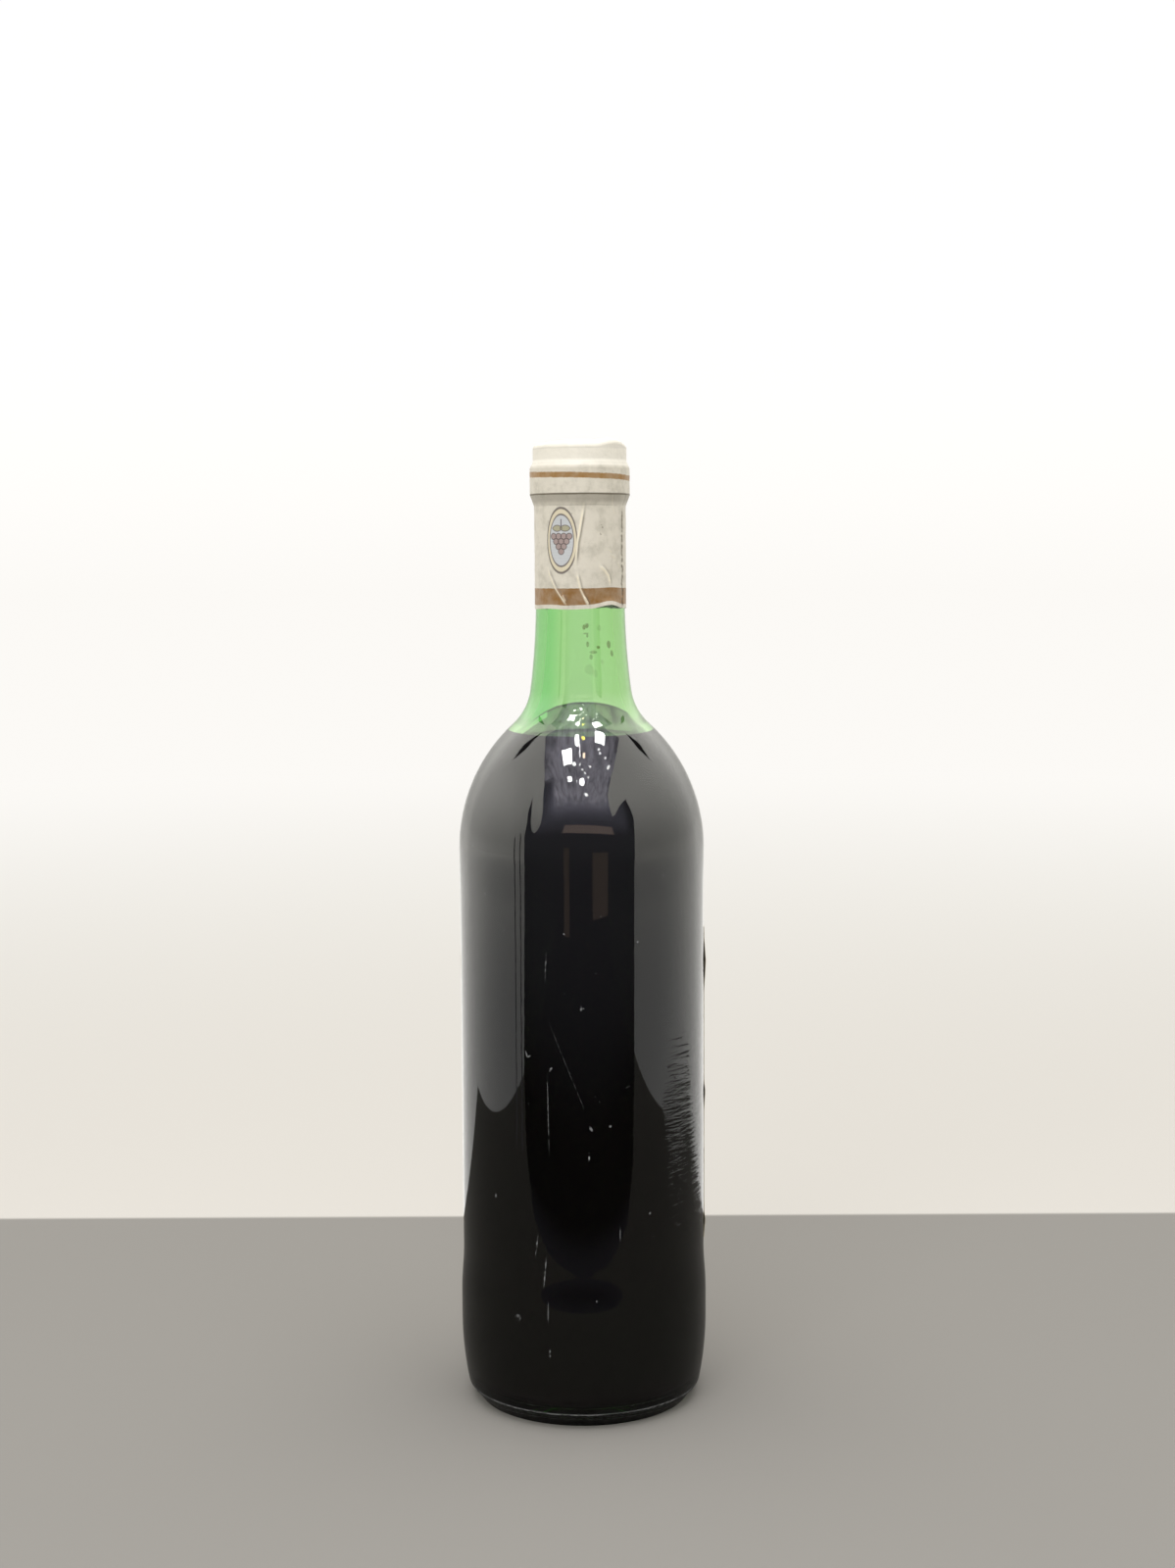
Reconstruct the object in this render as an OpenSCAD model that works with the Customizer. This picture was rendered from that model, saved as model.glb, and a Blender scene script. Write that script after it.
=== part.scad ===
// A sealed 75 cl wine bottle of the high-shouldered claret shape: green glass with a
// bearing ring and a punt, wine up to the shoulder, a metal foil capsule over the
// finish, and a paper label wrapped half way round the far side.
// Origin: centre of the bearing ring's plane. +Z up, -Y is the side without a label.
// All sizes are in millimetres.

/* [Bottle body] */
// Height of the glass, from the bearing ring to the top of the lip
glass_h = 293; // [285:0.5:341]
// Diameter of the body at its shoulder
body_d = 75; // [68:0.5:86]
// Depth of the recessed panel that takes the label
panel_in = 0.15; // [0:0.05:0.6]
// How far the contact band above the heel stands out from the shoulder's diameter, per side
heel_out = 0.55; // [0:0.05:1]
// Thickness of the glass in the body
wall = 2.5; // [1.8:0.1:3.5]
// Thickness of the glass over the punt
base_wall = 5; // [3:0.5:7]

/* [Heel and foot] */
// Height at which the body starts to draw in towards the heel
heel_z = 25; // [20:0.5:32]
// Radius of the long curve from the body down to the heel
heel_sweep_r = 105; // [80:1:140]
// Height at which the long curve turns into the heel's corner
heel_corner_z = 5; // [4.2:0.1:7]
// Radius of the heel's corner
heel_corner_r = 3; // [2:0.1:3.5]
// Distance from the heel's contact band in to the bearing ring
foot_in = 5.6; // [5:0.1:8]
// Width of the bearing ring
foot_w = 5; // [3:0.1:8]
// Height of the punt above the bearing ring
punt_h = 14; // [6:0.5:22]

/* [Shoulder] */
// Height at which the shoulder starts to curve in
shoulder_z = 171; // [162:0.5:174]
// Radius of the shoulder's round
shoulder_r = 51.6; // [46:0.1:56]
// Radius of the hollow at the root of the neck
root_r = 17; // [10:0.5:24]
// Radius of the long curve from the root up into the neck
taper_r = 220; // [80:1:260]
// Lean of the glass where the root's hollow turns into the long curve, in degrees
taper_lean = 7.5; // [5:0.5:10]

/* [Neck and finish] */
// Outer diameter of the neck
neck_d = 27; // [25:0.1:30]
// Diameter of the bore at the mouth
mouth_d = 18.5; // [17.5:0.1:19.5]
// Diameter of the bore at the foot of the neck
bore_d = 19.6; // [18:0.1:21]
// How far the ring round the finish stands out from the neck
ring_out = 1.3; // [0.8:0.1:2.5]
// Height of the ring's straight band
ring_h = 7.7; // [4:0.1:10]
// Height of the slope under the ring
ring_under_h = 3.3; // [2:0.1:4]
// Height of the slope over the ring
ring_slope_h = 2; // [1:0.1:3]
// How far the lip stands out from the neck
lip_out = 0.35; // [0.1:0.05:0.7]
// Height of the lip above the ring's upper slope
lip_h = 5.1; // [3.5:0.1:7]
// Radius of the lip's outer edge
lip_round = 1.2; // [0.6:0.1:1.6]

/* [Wine] */
// Height of the wine's surface above the bearing ring
fill_z = 206.3; // [120:0.1:208]
// Clearance between the wine and the glass
wine_gap = 0.05; // [0.02:0.01:0.2]

/* [Capsule] */
// Length of the capsule, from the top of the lip down to its lower edge
capsule_len = 49; // [39:0.5:60]
// Height of the capsule's crown over the mouth
crown_h = 1.4; // [0.4:0.1:2.5]
// Thickness of the capsule's foil
foil_t = 0.25; // [0.15:0.01:0.4]
// Clearance between the foil and the glass
foil_gap = 0.05; // [0.02:0.01:0.2]

/* [Label] */
// Width of the label along the glass
label_w = 115; // [60:1:125]
// Height of the label
label_h = 98; // [60:1:100]
// Height of the label's lower edge above the bearing ring
label_z = 48; // [47:0.5:52]
// Direction that the label's middle faces, in degrees from +X towards +Y
label_turn = 87.5; // [0:0.5:360]
// Thickness of the label's paper
paper_t = 0.15; // [0.1:0.01:0.3]
// Clearance between the label and the glass
paper_gap = 0.05; // [0.02:0.01:0.2]

/* [Hidden] */
$fn = 180;

// Height of the run from a contact band into the label's panel
band_run = 14;
// Height of the contact band above the heel
heel_band_h = 8;
// Angle, from level, at which the heel's corner runs out under the foot
heel_under = 65;
// Radius of the round between the inside of the wall and the floor
floor_round = 4;
// Steps in a long curve, and in a short one
long_steps = 24;
short_steps = 8;

body_r = body_d / 2;
panel_r = body_r - panel_in;
heel_r = body_r + heel_out;
foot_r = heel_r - foot_in;
punt_r = foot_r - foot_w;
neck_r = neck_d / 2;
ring_r = neck_r + ring_out;
lip_r = neck_r + lip_out;
bore_r = bore_d / 2;
mouth_r = mouth_d / 2;

ring_top = glass_h - lip_h - ring_slope_h;
ring_bottom = ring_top - ring_h;
heel_band_top = heel_z + heel_band_h;
panel_top = shoulder_z - band_run;
shoulder_c = [body_r - shoulder_r, shoulder_z];

// Points of an arc about c, from angle a0 to a1, both ends included
function arc(c, r, a0, a1, steps) = [
    for (i = [0:steps])
        let (a = a0 + (a1 - a0) * i / steps)
            [c[0] + r * cos(a), c[1] + r * sin(a)]
];

// Points of a smooth run from radius r0 to r1, between two heights, both ends included
function ease(r0, r1, z0, z1) = [
    for (i = [0:short_steps])
        let (t = i / short_steps)
            [r0 + (r1 - r0) * t * t * (3 - 2 * t), z0 + (z1 - z0) * t]
];

// The same points in the opposite order
function turned(points) = [for (i = [1:len(points)]) points[len(points) - i]];

// Radius of the dome that rises by rise over a circle of radius r
function dome(r, rise) = (r * r + rise * rise) / (2 * rise);

// Shoulder, root and taper, upwards to a neck of radius to_r, each tangent to the next.
// All three stand outside the glass's own outer side by out, or inside it if out is negative.
function shoulder_line(out, to_r) =
    let (
        taper = taper_r - out,
        root = root_r - out,
        root_x = to_r + taper * (1 - cos(taper_lean)) + root * cos(taper_lean),
        reach = shoulder_r + root_r,
        root_z = shoulder_z + sqrt(pow(reach, 2) - pow(root_x - shoulder_c[0], 2)),
        lean = atan2(root_z - shoulder_z, root_x - shoulder_c[0]),
        taper_z = root_z + (taper - root) * sin(taper_lean)
    )
    concat(
        arc(shoulder_c, shoulder_r + out, 0, lean, long_steps),
        arc([root_x, root_z], root, 180 + lean, 180 + taper_lean, short_steps),
        arc([to_r + taper, taper_z], taper, 180 + taper_lean, 180, short_steps)
    );

// Ring and lip of the finish, upwards, standing outside the glass by out
function finish_line(out) = concat(
    [
        [neck_r + out, ring_bottom - ring_under_h - out / 2],
        [ring_r + out, ring_bottom - out / 2],
        [ring_r + out, ring_top + out / 2],
        [lip_r + out, ring_top + ring_slope_h + out / 2]
    ],
    arc([lip_r - lip_round, glass_h - lip_round], lip_round + out, 0, 90, short_steps)
);

// Shoulder, neck and finish, standing outside the glass by out
function neck_line(out) = concat(shoulder_line(out, neck_r + out), finish_line(out));

// Side of the heel, upwards from the bearing ring to the contact band
function heel_line() =
    let (
        sweep_c = [heel_r - heel_sweep_r, heel_z],
        sweep_a = asin((heel_z - heel_corner_z) / heel_sweep_r),
        corner_reach = heel_sweep_r - heel_corner_r,
        corner_c = [sweep_c[0] + corner_reach * cos(sweep_a), heel_z - corner_reach * sin(sweep_a)]
    )
    concat(
        [[foot_r, 0]],
        arc(corner_c, heel_corner_r, -heel_under, -sweep_a, short_steps),
        arc(sweep_c, heel_sweep_r, -sweep_a, 0, short_steps)
    );

// Underside of the punt, outwards from the axis to the bearing ring
function punt_line() =
    let (punt_dome = dome(punt_r, punt_h))
    arc([0, punt_h - punt_dome], punt_dome, 90, 90 - asin(punt_r / punt_dome), long_steps);

// Inside of the glass, from the middle of the floor out and up to the neck's bore,
// standing clear of the glass by gap. A round touches both the floor's dome and the wall.
function inner_line(gap) =
    let (
        side = panel_r - wall - gap,
        punt_dome = dome(punt_r, punt_h),
        dome_z = punt_h - punt_dome,
        round_x = panel_r - wall - floor_round,
        round_reach = punt_dome + base_wall + floor_round,
        round_a = acos(round_x / round_reach),
        round_z = dome_z + round_reach * sin(round_a)
    )
    concat(
        arc([0, dome_z], punt_dome + base_wall + gap, 90, round_a, long_steps),
        arc([round_x, round_z], floor_round - gap, 180 + round_a, 360, short_steps),
        ease(side, body_r - wall - gap, panel_top, shoulder_z),
        shoulder_line(-wall - gap, bore_r - gap)
    );

// Profile of what the capsule goes over, grown by out, with the crown's dome on top
module under_foil(out) {
    points = neck_line(out);
    rim = points[len(points) - 1];
    crown = dome(rim[0], crown_h);
    polygon(concat(
        [[0, shoulder_z]],
        points,
        arc([0, rim[1] + crown_h - crown], crown, 90 - asin(rim[0] / crown), 90, short_steps)
    ));
}

// Glass: a body of revolution with its hollow, bore and punt
module bottle() {
    color([0.35, 0.62, 0.34, 0.5])
        rotate_extrude()
            polygon(concat(
                punt_line(),
                heel_line(),
                ease(heel_r, panel_r, heel_band_top, heel_band_top + band_run),
                ease(panel_r, body_r, panel_top, shoulder_z),
                neck_line(0),
                [[mouth_r, glass_h]],
                turned(inner_line(0))
            ));
}

// Wine: what fits inside the glass, up to the fill height
module wine() {
    color([0.1, 0.03, 0.05])
        rotate_extrude()
            intersection() {
                polygon(concat(inner_line(wine_gap), [[0, glass_h]]));
                square([body_r, fill_z]);
            }
}

// Capsule: foil over the finish and the top of the neck, closed over the mouth
module capsule() {
    color([0.86, 0.84, 0.77])
        rotate_extrude()
            difference() {
                under_foil(foil_gap + foil_t);
                under_foil(foil_gap);
                square([body_d, glass_h - capsule_len]);
            }
}

// Label: paper bent round the panel on the far side
module label() {
    inside = panel_r + paper_gap;
    turn = label_w / (panel_r * PI) * 180;
    color([0.9, 0.87, 0.78])
        rotate([0, 0, label_turn - turn / 2])
            rotate_extrude(angle = turn)
                translate([inside, label_z])
                    square([paper_t, label_h]);
}

bottle();
wine();
capsule();
label();
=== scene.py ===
import math

import bpy
from mathutils import Euler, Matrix, Quaternion, Vector, noise


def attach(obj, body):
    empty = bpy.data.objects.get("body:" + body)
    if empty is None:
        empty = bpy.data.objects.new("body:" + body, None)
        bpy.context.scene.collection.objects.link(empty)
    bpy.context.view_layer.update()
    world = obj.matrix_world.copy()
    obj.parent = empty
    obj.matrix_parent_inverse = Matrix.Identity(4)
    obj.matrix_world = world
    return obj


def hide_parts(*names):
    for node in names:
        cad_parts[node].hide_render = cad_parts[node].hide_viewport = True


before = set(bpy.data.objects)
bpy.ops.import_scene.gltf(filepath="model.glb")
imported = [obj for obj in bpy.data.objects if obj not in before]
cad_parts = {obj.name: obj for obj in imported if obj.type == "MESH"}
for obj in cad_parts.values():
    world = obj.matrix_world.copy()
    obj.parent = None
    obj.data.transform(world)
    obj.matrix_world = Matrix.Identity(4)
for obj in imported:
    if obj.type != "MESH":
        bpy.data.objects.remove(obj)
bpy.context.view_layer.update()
mm = 0.001                         # sizes below are in millimetres, the frame is in metres


# a shader socket that takes sums, so that 1 - mask adds its own Math node
class Wire:
    def __init__(self, tree, socket=None):
        self.tree = tree
        self.socket = socket

    def node(self, kind, settings=None, inputs=None, out=0):
        made = self.tree.nodes.new(kind)
        for key, value in (settings or {}).items():
            setattr(made, key, value)
        for key, value in (inputs or {}).items():
            if isinstance(value, Wire):
                self.tree.links.new(value.socket, made.inputs[key])
            else:
                made.inputs[key].default_value = value
        return Wire(self.tree, made.outputs[out])

    def math(self, operation, *values):
        return self.node("ShaderNodeMath", {"operation": operation}, dict(enumerate(values)))

    def __add__(self, other):
        return self.math("ADD", self, other)

    def __radd__(self, other):
        return self.math("ADD", other, self)

    def __sub__(self, other):
        return self.math("SUBTRACT", self, other)

    def __rsub__(self, other):
        return self.math("SUBTRACT", other, self)

    def __mul__(self, other):
        return self.math("MULTIPLY", self, other)

    def __rmul__(self, other):
        return self.math("MULTIPLY", other, self)

    def __truediv__(self, other):
        return self.math("DIVIDE", self, other)

    def least(self, other):
        return self.math("MINIMUM", self, other)

    def most(self, other):
        return self.math("MAXIMUM", self, other)

    def size(self):
        return self.math("ABSOLUTE", self)

    def fade(self, low, high, toLow=0.0, toHigh=1.0):
        return self.node("ShaderNodeMapRange", {"interpolation_type": "SMOOTHSTEP"},
                         {0: self, 1: low, 2: high, 3: toLow, 4: toHigh})

    def part(self, index):         # x, y or z of a place
        return self.node("ShaderNodeSeparateXYZ", {}, {0: self}, out=index)

    def mix(self, colorA, colorB):
        return self.node("ShaderNodeMix", {"data_type": "RGBA"}, {0: self, 6: colorA, 7: colorB}, out=2)

    def brighten(self, color):     # a colour times this value, which may pass 1
        return self.node("ShaderNodeVectorMath", {"operation": "SCALE"}, {0: color, "Scale": self})


def newMaterial(name):
    made = bpy.data.materials.new(name)
    made.use_nodes = True
    made.node_tree.nodes.clear()
    return made, Wire(made.node_tree)


def endMaterial(w, surface, volume=None):
    made = w.tree.nodes.new("ShaderNodeOutputMaterial")
    w.tree.links.new(surface.socket, made.inputs["Surface"])
    if volume:
        w.tree.links.new(volume.socket, made.inputs["Volume"])


def rgb(red, green, blue):         # a colour given as it looks, 0 to 255
    return tuple((c / 255) ** 2.2 for c in (red, green, blue)) + (1.0,)


def places(w):                     # place in mm, and the turn from the front towards the right
    where = w.node("ShaderNodeTexCoord", out=3)
    x, y, z = (where.part(i) * 1000 for i in range(3))
    return where, x, y, z, x.math("ARCTAN2", x, 0 - y)


def unrolled(w, name):             # a piece's own sheet: mm along it and up it
    flat = w.node("ShaderNodeUVMap", {"uv_map": name})
    return flat.part(0) * 1000, flat.part(1) * 1000


def noiseOf(w, where, scale, detail=3.0, roughness=0.5, stretch=(1, 1, 1)):
    spot = w.node("ShaderNodeMapping", {}, {"Vector": where, "Scale": stretch})
    return w.node("ShaderNodeTexNoise", {}, {"Vector": spot, "Scale": scale, "Detail": detail,
                                             "Roughness": roughness})


def near(w, sheet, u, v, wide, tall, lean=0):      # 1 at the edge of a leaning oval on a flat sheet
    placed = w.node("ShaderNodeMapping", {"vector_type": "TEXTURE"}, {
        "Vector": sheet, "Location": (u, v, 0), "Rotation": (0, 0, math.radians(lean)),
        "Scale": (wide, tall, 1)})
    return w.node("ShaderNodeVectorMath", {"operation": "LENGTH"}, {0: placed}, out=1)


def calm():                        # an operator acts on all that is selected
    if bpy.context.mode != "OBJECT":
        bpy.ops.object.mode_set(mode="OBJECT")
    bpy.ops.object.select_all(action="DESELECT")


def arc(centre, radius, start, end, steps):
    turns = [math.radians(start + (end - start) * i / steps) for i in range(steps + 1)]
    return [(centre[0] + radius * math.cos(a), centre[1] + radius * math.sin(a)) for a in turns]


def ease(fromR, toR, fromZ, toZ, steps=12):
    shares = [i / steps for i in range(steps + 1)]
    return [(fromR + (toR - fromR) * t * t * (3 - 2 * t), fromZ + (toZ - fromZ) * t) for t in shares]


def line(start, end, steps):
    return [tuple(a + (b - a) * i / steps for a, b in zip(start, end)) for i in range(steps + 1)]


def lathe(name, outline, segments):    # an outline of (radius, height) extruded, then spun about the axis
    calm()
    bpy.ops.mesh.primitive_plane_add(size=mm)
    piece = bpy.context.object
    piece.name = piece.data.name = name
    bpy.ops.object.mode_set(mode="EDIT")
    bpy.ops.mesh.merge(type="CENTER")
    bpy.ops.transform.translate(value=(outline[0][0] * mm, 0, outline[0][1] * mm))
    for before, after in zip(outline, outline[1:]):
        step = ((after[0] - before[0]) * mm, 0, (after[1] - before[1]) * mm)
        bpy.ops.mesh.extrude_region_move(TRANSFORM_OT_translate={"value": step})
    bpy.ops.mesh.select_all(action="SELECT")
    bpy.ops.mesh.spin(steps=segments, angle=math.tau, center=(0, 0, 0), axis=(0, 0, 1))
    bpy.ops.mesh.select_all(action="SELECT")
    bpy.ops.mesh.remove_doubles(threshold=0.002 * mm)
    bpy.ops.mesh.normals_make_consistent(inside=False)
    bpy.ops.object.mode_set(mode="OBJECT")
    return piece


def smooth(piece, angle=35):
    calm()
    piece.select_set(True)
    bpy.context.view_layer.objects.active = piece
    bpy.ops.object.shade_smooth_by_angle(angle=math.radians(angle))


def dress(piece, *materials):
    piece.data.materials.clear()
    for material in materials:
        piece.data.materials.append(material)


# the glass, from the bearing ring to the lip
glass = {
    "height": 293, "bodyR": 37.5, "panelIn": 0.15, "heelOut": 0.55, "wall": 2.5, "baseWall": 5,
    "heelZ": 25, "heelBand": 8, "bandRun": 14, "heelSweep": 105, "heelCornerZ": 5, "heelCorner": 3,
    "heelUnder": 65, "footIn": 5.6, "footWidth": 5, "puntHeight": 14, "floorRound": 4,
    "shoulderZ": 171, "shoulder": 51.6, "root": 17, "taper": 220, "lean": 7.5,
    "neckR": 13.5, "boreR": 9.8, "mouthR": 9.25,
    "ringOut": 1.3, "ringHeight": 7.7, "ringUnder": 3.3, "ringSlope": 2, "lipOut": 0.35,
    "lipHeight": 5.1, "lipRound": 1.2,
    "segments": 224,
    "ripple": 0.05, "rippleAbove": 12, "rippleOutside": 5,      # unevenness of the inner wall, and where
    "fine": (0.93, 1.0, 0.92, 1), "shadedSide": (0.55, 0.93, 0.62, 1),   # tint of the glass, and a deeper green painted as shade on the left side of the neck
    "absorb": (0.29, 0.69, 0.045, 1), "density": 180.0,
    "wearAt": 4.7, "wear": (0.42, 0.43, 0.45, 1),
}

# dried wine on the inner wall, an arch from lying on its side, with a gap at its left end
tide = {
    "low": 205.5, "rise": 10.4, "half": 17.8, "aside": 1.0, "round": 2.34, "ragged": 0.5,
    "shade": (0.002, 0.007, 0.004, 1), "rim": (0.0005, 0.003, 0.001, 1),
    "gapAt": (-16.5, 206.6), "gapSlope": 0.75, "gapWide": 0.9, "gapEnd": -9.6,
    "drop": (0.15, 0.115, 0.008, 1),
}

# dried drops inside the neck: (turn in degrees, height, half width and half height in mm, strength)
residue = [
    (5.7, 238.5, 0.45, 0.8, 0.9), (10.4, 238.9, 0.45, 0.75, 0.9), (8.2, 236.6, 0.7, 0.3, 0.6),
    (10.4, 235.9, 0.3, 0.6, 0.7), (11.0, 233.4, 0.4, 0.9, 0.8), (27.4, 232.4, 0.5, 0.45, 1.0),
    (30.0, 238.2, 0.5, 0.8, 0.3), (46.2, 233.2, 0.5, 1.1, 0.9), (51.4, 230.4, 0.4, 0.8, 0.9),
    (19.9, 231.0, 0.9, 0.5, 0.7), (16.0, 229.6, 0.4, 0.7, 0.6), (12.7, 225.8, 0.9, 1.2, 0.25),
    (33.0, 228.0, 0.4, 0.8, 0.2), (21.0, 224.5, 0.5, 1.0, 0.2),
]

# scuffs on the body: (turn in degrees, height, half width, half height, lean in degrees, strength)
scuffs = [
    (-15.8, 96, 0.16, 13, 1, 0.35), (-16.6, 140, 0.16, 5, -3, 0.4), (-6.5, 109.7, 0.12, 17, 22, 0.12),
    (3.7, 92.1, 0.45, 1.0, 30, 0.4), (2.8, 83.6, 0.22, 1.6, 0, 0.9), (12.5, 92.7, 0.4, 0.5, 0, 0.6),
    (-26.3, 113.8, 0.25, 1.2, 20, 0.5), (-24.8, 113.2, 0.8, 0.2, 30, 0.5),
    (-14.5, 109.7, 0.9, 0.35, 60, 0.35), (-0.5, 128.1, 0.25, 1.1, 0, 0.5),
    (-0.3, 128.1, 1.1, 0.25, -12, 0.5), (-60.4, 174, 0.45, 0.6, 0, 0.6),
    (-44.5, 69.3, 0.3, 0.8, 0, 0.5), (32.1, 65, 0.35, 0.45, 0, 0.5), (-21.8, 56.2, 0.2, 3.6, -8, 0.5),
    (-17.8, 48.2, 0.2, 5.2, -5, 0.45), (-15.4, 23.5, 0.2, 2.1, 0, 0.6), (-31.2, 33.6, 1.4, 1.2, 40, 0.2),
    (-16.2, 36.0, 0.16, 4.0, 0, 0.35), (26, 147, 0.3, 0.4, 0, 0.5), (-38, 150, 0.35, 0.4, 0, 0.5),
    (-50, 160, 0.3, 0.35, 0, 0.5), (40, 166, 0.35, 0.45, 0, 0.5), (-8, 150, 0.3, 0.35, 0, 0.4),
    (17, 60, 0.18, 2.6, 0, 0.3), (21, 104, 0.9, 0.2, 25, 0.25), (6, 40, 0.4, 0.4, 0, 0.35),
]
panelR = glass["bodyR"] - glass["panelIn"]
heelR = glass["bodyR"] + glass["heelOut"]
footR = heelR - glass["footIn"]
puntR = footR - glass["footWidth"]
puntDome = (puntR ** 2 + glass["puntHeight"] ** 2) / (2 * glass["puntHeight"])
domeZ = glass["puntHeight"] - puntDome
shoulderX = glass["bodyR"] - glass["shoulder"]
ringTop = glass["height"] - glass["lipHeight"] - glass["ringSlope"]
ringBottom = ringTop - glass["ringHeight"]


def shoulderLine(out, toR):
    lean = math.radians(glass["lean"])
    taper = glass["taper"] - out
    root = glass["root"] - out
    rootX = toR + taper * (1 - math.cos(lean)) + root * math.cos(lean)
    reach = glass["shoulder"] + glass["root"]
    rootZ = glass["shoulderZ"] + math.sqrt(reach ** 2 - (rootX - shoulderX) ** 2)
    meet = math.degrees(math.atan2(rootZ - glass["shoulderZ"], rootX - shoulderX))
    taperZ = rootZ + (taper - root) * math.sin(lean)
    return (arc((shoulderX, glass["shoulderZ"]), glass["shoulder"] + out, 0, meet, 44)
            + arc((rootX, rootZ), root, 180 + meet, 180 + glass["lean"], 16)[1:]
            + arc((toR + taper, taperZ), taper, 180 + glass["lean"], 180, 16)[1:])


def finishLine(out, lipRound=None):
    neckR = glass["neckR"] + out
    ringR = neckR + glass["ringOut"]
    lipR = glass["neckR"] + glass["lipOut"]
    bend = lipRound or glass["lipRound"] + out
    return ([(neckR, ringBottom - glass["ringUnder"] - out / 2), (ringR, ringBottom - out / 2),
             (ringR, ringTop + out / 2), (lipR + out, ringTop + glass["ringSlope"] + out / 2)]
            + arc((lipR + out - bend, glass["height"] + out - bend), bend, 0, 90, 8))


def heelLine():
    sweep = math.asin((glass["heelZ"] - glass["heelCornerZ"]) / glass["heelSweep"])
    reach = glass["heelSweep"] - glass["heelCorner"]
    sweepX = heelR - glass["heelSweep"]
    corner = (sweepX + reach * math.cos(sweep), glass["heelZ"] - reach * math.sin(sweep))
    return ([(footR, 0)]
            + arc(corner, glass["heelCorner"], -glass["heelUnder"], -math.degrees(sweep), 10)
            + arc((sweepX, glass["heelZ"]), glass["heelSweep"], -math.degrees(sweep), 0, 16)[1:])


def innerLine(gap):
    side = panelR - glass["wall"] - gap
    roundX = panelR - glass["wall"] - glass["floorRound"]
    reach = puntDome + glass["baseWall"] + glass["floorRound"]
    turn = math.degrees(math.acos(roundX / reach))
    roundZ = domeZ + reach * math.sin(math.radians(turn))
    return (arc((0, domeZ), puntDome + glass["baseWall"] + gap, 90, turn, 20)
            + arc((roundX, roundZ), glass["floorRound"] - gap, 180 + turn, 360, 14)[1:]
            + line((side, roundZ + 2), (side, glass["shoulderZ"] - glass["bandRun"] - 2), 10)
            + ease(side, glass["bodyR"] - glass["wall"] - gap,
                   glass["shoulderZ"] - glass["bandRun"], glass["shoulderZ"])
            + shoulderLine(-glass["wall"] - gap, glass["boreR"] - gap)[1:])


def outerLine():
    bandTop = glass["heelZ"] + glass["heelBand"]
    panelTop = glass["shoulderZ"] - glass["bandRun"]
    foot = math.degrees(math.asin(puntR / puntDome))
    return (arc((0, domeZ), puntDome, 90, 90 - foot, 20)
            + heelLine()
            + ease(heelR, panelR, bandTop, bandTop + glass["bandRun"])
            + line((panelR, bandTop + glass["bandRun"] + 2), (panelR, panelTop - 2), 10)
            + ease(panelR, glass["bodyR"], panelTop, glass["shoulderZ"])
            + shoulderLine(0, glass["neckR"])[1:]
            + finishLine(0))


def radiusAt(outline, z):          # the widest radius of an outline at a height
    found = [0]
    for (lowR, lowZ), (highR, highZ) in zip(outline, outline[1:]):
        if lowZ != highZ and min(lowZ, highZ) <= z <= max(lowZ, highZ):
            found.append(lowR + (highR - lowR) * (z - lowZ) / (highZ - lowZ))
    return max(found)


def makeGlass():
    outer = outerLine()
    mouth = [(glass["mouthR"], glass["height"])]
    piece = lathe("glassShell", outer + mouth + innerLine(0)[::-1], glass["segments"])
    innerTop = glass["height"] - 1
    inward = piece.data.attributes.new("inward", "FLOAT", "POINT")
    for vertex in piece.data.vertices:             # the inside of blown glass is never quite even
        x, y, z = (c / mm for c in vertex.co)
        r = math.hypot(x, y)
        middle = radiusAt(outer, z) - glass["wall"] / 2
        if glass["rippleAbove"] < z < innerTop and glass["rippleOutside"] < r < middle:
            inward.data[vertex.index].value = 1
            wave = noise.noise((x * 0.06, y * 0.06, z * 0.02))
            wave += 0.5 * noise.noise((x * 0.2, y * 0.2, z * 0.05 + 9))
            share = 1 + glass["ripple"] * wave / r
            vertex.co.x *= share
            vertex.co.y *= share
    return piece


def tideMark(w, where, x, y, z, inward, rough):    # the glass's tint with the film of dried wine over it
    across = (x - tide["aside"]).size() / tide["half"]
    top = tide["low"] + tide["rise"] * (1 - across.math("POWER", across, tide["round"]))
    deep = top - z + rough * tide["ragged"]
    band = z.fade(tide["low"] - 0.3, tide["low"] + 0.3) * y.fade(-2, -4) * inward
    fromGap = (z - tide["gapAt"][1] - (x - tide["gapAt"][0]) * tide["gapSlope"] + rough).size()
    gap = (fromGap.fade(tide["gapWide"], tide["gapWide"] - 0.3)
           * x.fade(tide["gapEnd"] + 0.4, tide["gapEnd"]))
    film = deep.fade(-0.1, 0.15) * band * (1 - gap)
    rim = (deep + rough * 0.5).fade(-0.15, 0.05) * deep.fade(0.9, 0.4) * band * (1 - gap)
    streaks = noiseOf(w, where, 300, 3, stretch=(1, 1, 0.2)).fade(0.3, 0.7, 0.82, 1.0)
    # painted shade: the left side of the shoulder and neck is tinted a deeper green
    shadedSide = x.fade(-5, -13) * z.fade(206, 214)
    tint = (film * streaks).mix(shadedSide.mix(glass["fine"], glass["shadedSide"]), tide["shade"])
    return (rim * 0.9).mix(tint, tide["rim"])


def driedDrops(w, z, turn, rough):
    sheet = w.node("ShaderNodeCombineXYZ", {}, {0: turn * glass["boreR"], 1: z})
    drops = 0
    for turnOf, height, wide, tall, strength in residue:
        spot = near(w, sheet, math.radians(turnOf) * glass["boreR"], height, wide * 1.25, tall * 1.2)
        drops = (spot + rough * 1.4).fade(1.1, 0.7) * strength + drops
    return drops


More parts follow.
